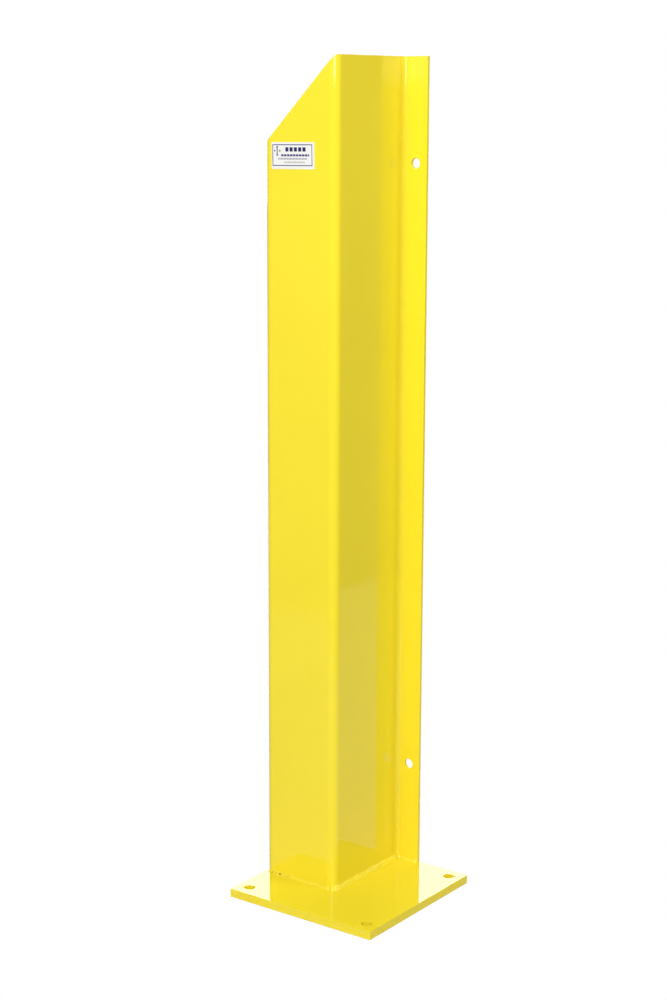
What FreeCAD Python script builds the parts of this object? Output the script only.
import FreeCAD, Part
import math
import os

# Door track guard: a formed steel post on a square floor plate.
#
# Frame: millimetres, +Z up, origin at the middle of the floor plate's underside.
# The wall is at the plate's back edge (+Y), the traffic comes from the front (-Y),
# and +X runs to the right along the guard's front face.

V = FreeCAD.Vector

# ---- floor plate -------------------------------------------------------------
PLATE_WIDTH = 254.0          # along X, 10 in
PLATE_DEPTH = 254.0          # along Y, 10 in
PLATE_THICK = 12.7           # 1/2 in
PLATE_EDGE_BREAK = 0.8       # saw-cut edges dressed before painting
ANCHOR_HOLE_D = 15.9         # 5/8 in, clears a 1/2 in wedge anchor
ANCHOR_EDGE = 20.6           # hole centre to the plate's edges

# ---- formed guard ------------------------------------------------------------
OVERALL_HEIGHT = 1219.2      # floor to the guard's top, 48 in
SHEET_THICK = 4.76           # 3/16 in
BEND_INSIDE_R = 7.94         # press-brake radius, 5/16 in
FACE_WIDTH = 127.0           # outside, lip to web, 5 in
WEB_DEPTH = 168.3            # outside, front face to the wall, 6 5/8 in
FLANGE_WIDTH = 44.45         # outside, web to the wall flange's free edge, 1 3/4 in
LIP_DEPTH = 38.1             # outside, front face to the return lip's free edge, 1 1/2 in
CHAMFER_ANGLE = 45.0         # degrees from level, cut in the flat blank
CHAMFER_START = 8.9          # how far into the web's bend the cut starts, in the flat
CHAMFER_STEPS = 6            # sections that carry the cut round a bend
CUT_CLEAR = 0.5              # how far a cutting block stands past the sheet
SHEET_EDGE_BREAK = 0.5       # sheared edges dressed before painting

# ---- wall fixing holes, in the wall flange -------------------------------------
WALL_HOLE_D = 14.3           # 9/16 in, clears a 1/2 in anchor
WALL_HOLE_TOP = 149.2        # guard's top to the upper hole's centre, 5 7/8 in
WALL_HOLE_SPACING = 901.7    # between the two centres, 35 1/2 in
WALL_HOLE_EDGE = 19.05       # hole centre to the flange's free edge, 3/4 in

# ---- fillet welds ------------------------------------------------------------
WELD_LEG = 6.35              # 1/4 in
WELD_CROWN = 0.6             # how far the bead stands out of a flat fillet
LIP_WELD_CLEAR = 3.0         # the lip's bead stops short of its free edge
WELD_EDGE_CLEAR = 0.4        # beads stop this far inside the plate's edges

# ---- maker's label -----------------------------------------------------------
LABEL_WIDTH = 75.0
LABEL_HEIGHT = 37.0
LABEL_THICK = 0.3
LABEL_CORNER_R = 1.0
LABEL_FROM_LEFT = 15.2       # guard's left side to the label's left edge
LABEL_BELOW_CHAMFER = 7.9    # lowest point of the cut on the face to the label
LABEL_TILT = 0.9             # degrees, put on by hand

# ---- worked out --------------------------------------------------------------
BEND_OUTSIDE_R = BEND_INSIDE_R + SHEET_THICK
BEND_MIDDLE_R = BEND_INSIDE_R + SHEET_THICK / 2
BEND_LENGTH = BEND_MIDDLE_R * math.pi / 2       # of a square bend, in the flat
FACE_FLAT = FACE_WIDTH - 2 * BEND_OUTSIDE_R     # of the front face, between its bends
PLATE_LEFT = -PLATE_WIDTH / 2
PLATE_FRONT = -PLATE_DEPTH / 2
WALL_Y = PLATE_DEPTH / 2
GUARD_FOOT = PLATE_THICK
GUARD_HEIGHT = OVERALL_HEIGHT - PLATE_THICK
LIP_X = PLATE_LEFT                        # lip's outer side, flush with the plate
WEB_X = LIP_X + FACE_WIDTH                # web's outer side
FACE_Y = WALL_Y - WEB_DEPTH               # front of the front face
LIP_END_Y = FACE_Y + LIP_DEPTH
FLANGE_FRONT_Y = WALL_Y - SHEET_THICK
FLANGE_END_X = WEB_X - SHEET_THICK + FLANGE_WIDTH


def turn(point, corner, other, radius):
    """Tangent points and middle of the arc that rounds a square corner."""
    before = (point - corner).normalize() * radius
    after = (other - corner).normalize() * radius
    centre = corner + before + after
    middle = centre + (corner - centre).normalize() * radius
    return corner + before, middle, corner + after


def rounded_path(points, radii):
    """Edges through points at right angles, each inner point rounded."""
    edges = []
    start = points[0]
    for i, radius in enumerate(radii, 1):
        enter, middle, leave = turn(points[i - 1], points[i], points[i + 1], radius)
        edges.append(Part.LineSegment(start, enter).toShape())
        edges.append(Part.Arc(enter, middle, leave).toShape())
        start = leave
    edges.append(Part.LineSegment(start, points[-1]).toShape())
    return edges


def guard_section():
    """The guard's section in plan: lip, front face, web and wall flange."""
    t = SHEET_THICK
    outer = [
        V(LIP_X, LIP_END_Y, GUARD_FOOT),
        V(LIP_X, FACE_Y, GUARD_FOOT),
        V(WEB_X, FACE_Y, GUARD_FOOT),
        V(WEB_X, FLANGE_FRONT_Y, GUARD_FOOT),
        V(FLANGE_END_X, FLANGE_FRONT_Y, GUARD_FOOT),
    ]
    inner = [
        V(FLANGE_END_X, WALL_Y, GUARD_FOOT),
        V(WEB_X - t, WALL_Y, GUARD_FOOT),
        V(WEB_X - t, FACE_Y + t, GUARD_FOOT),
        V(LIP_X + t, FACE_Y + t, GUARD_FOOT),
        V(LIP_X + t, LIP_END_Y, GUARD_FOOT),
    ]
    edges = rounded_path(outer, [BEND_OUTSIDE_R, BEND_OUTSIDE_R, BEND_INSIDE_R])
    edges.append(Part.LineSegment(outer[-1], inner[0]).toShape())
    edges += rounded_path(inner, [BEND_OUTSIDE_R, BEND_INSIDE_R, BEND_INSIDE_R])
    edges.append(Part.LineSegment(inner[-1], outer[0]).toShape())
    return Part.Face(Part.Wire(edges))


def cut_height(length):
    """Height of the chamfer at a length from its start, measured in the flat blank."""
    return OVERALL_HEIGHT - length * math.tan(math.radians(CHAMFER_ANGLE))


def prism(outline, direction):
    """A closed outline pushed along a direction."""
    return Part.Face(Part.makePolygon(outline + outline[:1])).extrude(direction)


def cut_round_bend(axis, start_angle, end_angle, start_length):
    """The chamfer's waste round a bend. Angles are from -Y, positive towards +X."""
    near = BEND_INSIDE_R - CUT_CLEAR
    far = BEND_OUTSIDE_R + CUT_CLEAR
    above = OVERALL_HEIGHT + CUT_CLEAR
    sections = []
    for step in range(CHAMFER_STEPS + 1):
        angle = start_angle + (end_angle - start_angle) * step / CHAMFER_STEPS
        low = cut_height(start_length + abs(angle - start_angle) * BEND_MIDDLE_R)
        out = V(math.sin(angle), -math.cos(angle), 0)
        corners = [
            axis + out * near + V(0, 0, low),
            axis + out * far + V(0, 0, low),
            axis + out * far + V(0, 0, above),
            axis + out * near + V(0, 0, above),
        ]
        sections.append(Part.makePolygon(corners + corners[:1]))
    return Part.makeLoft(sections, True, True)


def chamfer_cuts():
    """What the chamfer takes off: part of the web's bend, the face, the lip's bend, the lip."""
    above = OVERALL_HEIGHT + CUT_CLEAR
    through = SHEET_THICK + 2 * CUT_CLEAR
    bend_y = FACE_Y + BEND_OUTSIDE_R
    web_bend = V(WEB_X - BEND_OUTSIDE_R, bend_y, 0)
    lip_bend = V(LIP_X + BEND_OUTSIDE_R, bend_y, 0)
    face_end = CHAMFER_START + FACE_FLAT
    lip_start = face_end + BEND_LENGTH
    behind_y = LIP_END_Y + CUT_CLEAR
    over_face = prism(
        [
            V(web_bend.x, FACE_Y - CUT_CLEAR, cut_height(CHAMFER_START)),
            V(lip_bend.x, FACE_Y - CUT_CLEAR, cut_height(face_end)),
            V(lip_bend.x, FACE_Y - CUT_CLEAR, above),
            V(web_bend.x, FACE_Y - CUT_CLEAR, above),
        ],
        V(0, through, 0),
    )
    over_lip = prism(
        [
            V(LIP_X - CUT_CLEAR, bend_y, cut_height(lip_start)),
            V(LIP_X - CUT_CLEAR, behind_y, cut_height(lip_start + behind_y - bend_y)),
            V(LIP_X - CUT_CLEAR, behind_y, above),
            V(LIP_X - CUT_CLEAR, bend_y, above),
        ],
        V(through, 0, 0),
    )
    start_angle = CHAMFER_START / BEND_MIDDLE_R
    return [
        cut_round_bend(web_bend, start_angle, 0, 0),
        over_face,
        cut_round_bend(lip_bend, 0, -math.pi / 2, face_end),
        over_lip,
    ]


def wall_hole_places():
    """Centres of the two wall fixing holes, on the flange's front."""
    x = FLANGE_END_X - WALL_HOLE_EDGE
    high = OVERALL_HEIGHT - WALL_HOLE_TOP
    low = high - WALL_HOLE_SPACING
    return [V(x, FLANGE_FRONT_Y, low), V(x, FLANGE_FRONT_Y, high)]


def formed_guard():
    guard = guard_section().extrude(V(0, 0, GUARD_HEIGHT))
    guard = guard.cut(chamfer_cuts())
    for place in wall_hole_places():
        start = place - V(0, SHEET_THICK, 0)
        hole = Part.makeCylinder(WALL_HOLE_D / 2, 3 * SHEET_THICK, start, V(0, 1, 0))
        guard = guard.cut(hole)
    free_edges = []
    for edge in guard.Edges:
        box = edge.BoundBox
        upright = box.ZLength > GUARD_HEIGHT / 2
        on_flange_end = abs(box.XMin - FLANGE_END_X) < 0.01 and box.XLength < 0.01
        if upright and on_flange_end:
            free_edges.append(edge)
    return guard.makeFillet(SHEET_EDGE_BREAK, free_edges)


def anchor_hole_places():
    """Centres of the four floor anchor holes, on the floor."""
    x = PLATE_WIDTH / 2 - ANCHOR_EDGE
    y = PLATE_DEPTH / 2 - ANCHOR_EDGE
    return [V(-x, -y, 0), V(x, -y, 0), V(x, y, 0), V(-x, y, 0)]


def base_plate():
    plate = Part.makeBox(PLATE_WIDTH, PLATE_DEPTH, PLATE_THICK, V(PLATE_LEFT, PLATE_FRONT, 0))
    top_edges = [e for e in plate.Edges if e.BoundBox.ZMin > PLATE_THICK / 2]
    plate = plate.makeChamfer(PLATE_EDGE_BREAK, top_edges)
    for place in anchor_hole_places():
        plate = plate.cut(Part.makeCylinder(ANCHOR_HOLE_D / 2, PLATE_THICK, place))
    return plate


def weld_face(root, outward):
    """Section of a fillet weld: two legs and a slightly crowned face."""
    up = V(0, 0, 1)
    toe = root + outward * WELD_LEG
    top = root + up * WELD_LEG
    middle = (toe + top) * 0.5 + (outward + up).normalize() * WELD_CROWN
    edges = [
        Part.LineSegment(root, toe).toShape(),
        Part.Arc(toe, middle, top).toShape(),
        Part.LineSegment(top, root).toShape(),
    ]
    return Part.Face(Part.Wire(edges))


def straight_bead(start, end, outward):
    """Weld along a straight foot, standing off to the outward side."""
    return weld_face(start, outward).extrude(end - start)


def corner_bead(centre, outward, angle):
    """Weld round the outside of a bend, turned about the bend's upright axis."""
    section = weld_face(centre + outward * BEND_OUTSIDE_R, outward)
    return section.revolve(centre, V(0, 0, 1), angle)


def joined(pieces):
    """Neighbouring stretches of one bead as a single solid."""
    return pieces[0].fuse(pieces[1:]).removeSplitter()


def trimmed_to_guard(bead):
    """A bead with what the guard fills taken out of it."""
    foot = guard_section().extrude(V(0, 0, 2 * WELD_LEG))
    return bead.cut(foot)


def mitre_block(side):
    """What a bead loses at the inside corner, where web and flange beads meet."""
    reach = 3 * WELD_LEG
    corner = V(WEB_X, FLANGE_FRONT_Y, 0)
    outline = [corner, corner + V(reach, -reach, 0), corner + side * reach]
    return prism(outline, V(0, 0, GUARD_FOOT + reach))


def front_weld():
    bend_y = FACE_Y + BEND_OUTSIDE_R
    left = V(LIP_X + BEND_OUTSIDE_R, bend_y, GUARD_FOOT)
    right = V(WEB_X - BEND_OUTSIDE_R, bend_y, GUARD_FOOT)
    toe_reach = BEND_OUTSIDE_R + WELD_LEG
    wrap = math.degrees(math.asin((BEND_OUTSIDE_R - WELD_EDGE_CLEAR) / toe_reach))
    front = V(0, -1, 0)
    straight = straight_bead(left + front * BEND_OUTSIDE_R, right + front * BEND_OUTSIDE_R, front)
    return joined([straight, corner_bead(left, front, -wrap), corner_bead(right, front, 45)])


def side_weld():
    right = V(1, 0, 0)
    centre = V(WEB_X - BEND_OUTSIDE_R, FACE_Y + BEND_OUTSIDE_R, GUARD_FOOT)
    start = centre + right * BEND_OUTSIDE_R
    end = V(WEB_X, FLANGE_FRONT_Y, GUARD_FOOT)
    wrap = corner_bead(centre, right, -45)
    bead = joined([straight_bead(start, end, right), wrap])
    return trimmed_to_guard(bead.cut(mitre_block(right)))


def flange_weld():
    start = V(WEB_X, FLANGE_FRONT_Y, GUARD_FOOT)
    end = V(FLANGE_END_X, FLANGE_FRONT_Y, GUARD_FOOT)
    bead = straight_bead(start, end, V(0, -1, 0))
    return trimmed_to_guard(bead.cut(mitre_block(V(0, -1, 0))))


def lip_weld():
    x = LIP_X + SHEET_THICK
    start = V(x, FACE_Y + BEND_OUTSIDE_R, GUARD_FOOT)
    end = V(x, LIP_END_Y - LIP_WELD_CLEAR, GUARD_FOOT)
    return straight_bead(start, end, V(1, 0, 0))


def maker_label():
    face_cut_z = cut_height(CHAMFER_START + FACE_FLAT)
    left = LIP_X + LABEL_FROM_LEFT
    bottom = face_cut_z - LABEL_BELOW_CHAMFER - LABEL_HEIGHT
    corner = V(left, FACE_Y - LABEL_THICK, bottom)
    label = Part.makeBox(LABEL_WIDTH, LABEL_THICK, LABEL_HEIGHT, corner)
    square_edges = [e for e in label.Edges if e.BoundBox.YLength > LABEL_THICK / 2]
    label = label.makeFillet(LABEL_CORNER_R, square_edges)
    middle = corner + V(LABEL_WIDTH / 2, 0, LABEL_HEIGHT / 2)
    return label.rotate(middle, V(0, -1, 0), LABEL_TILT)


NODES = {
    "base_plate": base_plate,
    "formed_guard": formed_guard,
    "front_weld": front_weld,
    "side_weld": side_weld,
    "flange_weld": flange_weld,
    "lip_weld": lip_weld,
    "maker_label": maker_label,
}

os.makedirs("parts", exist_ok=True)
for name, make in NODES.items():
    shape = make()
    solids = len(shape.Solids)
    shape.exportStep(os.path.join("parts", name + ".step"))
    print(f"{name}: {solids} solid, valid {shape.isValid()}, {shape.Volume / 1000:.2f} cm3")
